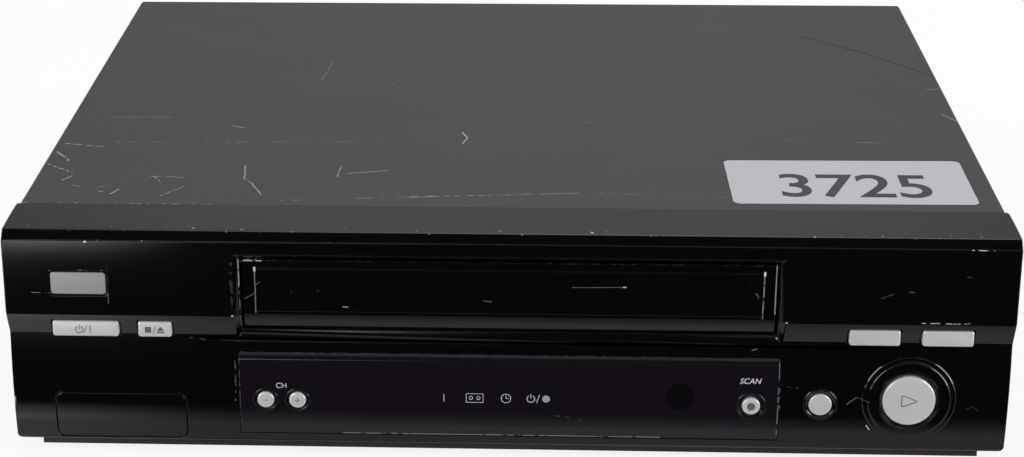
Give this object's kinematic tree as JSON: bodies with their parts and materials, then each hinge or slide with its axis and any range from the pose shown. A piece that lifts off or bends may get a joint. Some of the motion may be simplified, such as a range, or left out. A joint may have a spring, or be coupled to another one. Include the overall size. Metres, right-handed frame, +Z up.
{
  "type": "video cassette recorder",
  "caption": "Front-loading video cassette recorder: black front with flap door, display window, silver keys and play button, grey steel cover, complete tape deck inside.",
  "frame": {"origin": "On the surface it stands on, under the middle of the bounding box.", "axes": "+X to the right seen from the front, +Y from the front to the rear, +Z up; the front faces -Y."},
  "size_m": [0.4, 0.341, 0.1],
  "materials": {
    "cover": "dark grey textured paint",
    "black_gloss": "piano black",
    "smoked_window": "dark purple tinted, glossy",
    "bright_trim": "polished",
    "silver_key": "satin silver paint",
    "black_matte": "moulded",
    "rubber": "matte",
    "zinc": "zinc plated",
    "bright_steel": "ground",
    "cast_aluminium": "machined casting",
    "circuit_board": "brown resin board",
    "white_plastic": "acetal",
    "transformer_core": "varnished laminations",
    "capacitor_sleeve": "shrink sleeve"
  },
  "bodies": {
    "chassis": {"top_cover": "cover", "base_chassis": "black_matte", "rear_panel": "zinc", "front_panel": "black_gloss", "display_window": "smoked_window", "badge_plate": "bright_trim", "foot_front_left": "rubber", "foot_front_right": "rubber", "foot_rear_left": "rubber", "foot_rear_right": "rubber", "cover_screw_left": "zinc", "cover_screw_right": "zinc", "rear_screw_left": "zinc", "rear_screw_right": "zinc", "main_board": "circuit_board", "front_board": "circuit_board", "remote_receiver": "black_matte", "power_board": "circuit_board", "power_transformer": "transformer_core", "smoothing_capacitor": "capacitor_sleeve", "tuner_module": "zinc", "scart_socket_1": "black_matte", "scart_socket_2": "black_matte", "audio_socket_block": "black_matte", "cord_gland": "rubber", "front_socket_tray": "black_matte", "deck_chassis": "zinc", "loader_bracket_left": "zinc", "loader_bracket_right": "zinc", "audio_control_head": "bright_steel", "erase_head": "bright_steel", "lower_drum": "cast_aluminium", "loading_motor": "bright_steel", "drive_belt": "rubber"},
    "door": {"cassette_door": "black_gloss"},
    "flap": {"socket_flap": "black_gloss"},
    "power_key": {"power_button": "silver_key"},
    "stop_eject_key": {"stop_eject_button": "silver_key"},
    "rewind_key": {"rewind_button": "silver_key"},
    "forward_key": {"forward_button": "silver_key"},
    "play_key": {"play_button": "silver_key"},
    "record_key": {"record_button": "silver_key"},
    "channel_down_key": {"channel_down_button": "silver_key"},
    "channel_up_key": {"channel_up_button": "silver_key"},
    "scan_key": {"scan_button": "silver_key"},
    "slider": {"loader_slider": "zinc"},
    "holder": {"cassette_holder": "zinc"},
    "drum": {"head_drum": "bright_steel"},
    "capstan": {"capstan_flywheel": "bright_steel"},
    "pinch": {"pinch_arm": "zinc"},
    "roller": {"pinch_roller": "rubber"},
    "supply_reel": {"supply_reel_table": "white_plastic"},
    "take_up_reel": {"take_up_reel_table": "white_plastic"},
    "cam": {"cam_gear": "white_plastic"},
    "pinion": {"motor_pinion": "white_plastic"},
    "supply_post": {"supply_guide": "bright_steel"},
    "take_up_post": {"take_up_guide": "bright_steel"},
    "clutch": {"clutch_pulley": "white_plastic"},
    "tension": {"tension_arm": "zinc"}
  },
  "joints": [
    {"name": "door_hinge", "type": "hinge", "parent": "chassis", "child": "door", "pos_m": [0.0007, -0.1675, 0.0854], "axis": [1, 0, 0], "range_deg": [0, 80], "stiffness_Nm_per_rad": 0.004, "springref_deg": -17.19},
    {"name": "flap_hinge", "type": "hinge", "parent": "chassis", "child": "flap", "pos_m": [-0.1563, -0.16464, 0.0107], "axis": [1, 0, 0], "range_deg": [0, 90]},
    {"name": "power_key_press", "type": "slide", "parent": "chassis", "child": "power_key", "axis": [0, 1, 0], "range_m": [0, 0.0012], "stiffness_N_per_m": 300},
    {"name": "stop_eject_key_press", "type": "slide", "parent": "chassis", "child": "stop_eject_key", "axis": [0, 1, 0], "range_m": [0, 0.0012], "stiffness_N_per_m": 300},
    {"name": "rewind_key_press", "type": "slide", "parent": "chassis", "child": "rewind_key", "axis": [0, 1, 0], "range_m": [0, 0.0012], "stiffness_N_per_m": 300},
    {"name": "forward_key_press", "type": "slide", "parent": "chassis", "child": "forward_key", "axis": [0, 1, 0], "range_m": [0, 0.0012], "stiffness_N_per_m": 300},
    {"name": "play_key_press", "type": "slide", "parent": "chassis", "child": "play_key", "axis": [0, 1, 0], "range_m": [0, 0.0012], "stiffness_N_per_m": 300},
    {"name": "record_key_press", "type": "slide", "parent": "chassis", "child": "record_key", "axis": [0, 1, 0], "range_m": [0, 0.0012], "stiffness_N_per_m": 300},
    {"name": "channel_down_key_press", "type": "slide", "parent": "chassis", "child": "channel_down_key", "axis": [0, 1, 0], "range_m": [0, 0.0012], "stiffness_N_per_m": 300},
    {"name": "channel_up_key_press", "type": "slide", "parent": "chassis", "child": "channel_up_key", "axis": [0, 1, 0], "range_m": [0, 0.0012], "stiffness_N_per_m": 300},
    {"name": "scan_key_press", "type": "slide", "parent": "chassis", "child": "scan_key", "axis": [0, 1, 0], "range_m": [0, 0.0012], "stiffness_N_per_m": 300},
    {"name": "loader_slide", "type": "slide", "parent": "chassis", "child": "slider", "axis": [0, 1, 0], "range_m": [0, 0.045]},
    {"name": "holder_lower", "type": "slide", "parent": "slider", "child": "holder", "axis": [0, 0, -1], "range_m": [0, 0.018]},
    {"name": "drum_spin", "type": "hinge", "parent": "chassis", "child": "drum", "pos_m": [0.0007, 0.02099, 0.03702], "axis": [0, -0.1038, 0.9946], "continuous": true},
    {"name": "capstan_spin", "type": "hinge", "parent": "chassis", "child": "capstan", "pos_m": [0.062, -0.01941, 0.0318], "axis": [0, 0, 1], "continuous": true},
    {"name": "pinch_swing", "type": "hinge", "parent": "chassis", "child": "pinch", "pos_m": [0.0847, -0.00341, 0.0318], "axis": [0, 0, 1], "range_deg": [0, 25]},
    {"name": "roller_spin", "type": "hinge", "parent": "pinch", "child": "roller", "pos_m": [0.06113, -0.00025, 0.0358], "axis": [0, 0, 1], "continuous": true},
    {"name": "supply_reel_spin", "type": "hinge", "parent": "chassis", "child": "supply_reel", "pos_m": [-0.0453, -0.08201, 0.0318], "axis": [0, 0, 1], "continuous": true},
    {"name": "take_up_reel_spin", "type": "hinge", "parent": "chassis", "child": "take_up_reel", "pos_m": [0.0467, -0.08201, 0.0318], "axis": [0, 0, 1], "continuous": true},
    {"name": "cam_turn", "type": "hinge", "parent": "chassis", "child": "cam", "pos_m": [0.0707, 0.04499, 0.0318], "axis": [0, 0, 1], "range_deg": [0, 270]},
    {"name": "pinion_turn", "type": "hinge", "parent": "chassis", "child": "pinion", "pos_m": [0.05033, 0.06535, 0.0318], "axis": [0, 0, 1], "range_deg": [-810, 0]},
    {"name": "supply_post_slide", "type": "slide", "parent": "chassis", "child": "supply_post", "axis": [-0.1987, 0.9801, 0], "range_m": [0, 0.0454]},
    {"name": "take_up_post_slide", "type": "slide", "parent": "chassis", "child": "take_up_post", "axis": [0.1987, 0.9801, 0], "range_m": [0, 0.0454]},
    {"name": "clutch_spin", "type": "hinge", "parent": "chassis", "child": "clutch", "pos_m": [0.0007, -0.06101, 0.018], "axis": [0, 0, 1], "continuous": true},
    {"name": "tension_swing", "type": "hinge", "parent": "chassis", "child": "tension", "pos_m": [-0.0773, -0.03701, 0.0318], "axis": [0, 0, 1], "range_deg": [-10, 10], "stiffness_Nm_per_rad": 0.005}
  ],
  "couplings": [
    {"joint": "pinion_turn", "follows": "cam_turn", "ratio": -3},
    {"joint": "supply_post_slide", "follows": "cam_turn", "m_per_rad": 0.0096136},
    {"joint": "take_up_post_slide", "follows": "cam_turn", "m_per_rad": 0.0096136},
    {"joint": "clutch_spin", "follows": "capstan_spin", "ratio": 2}
  ]
}
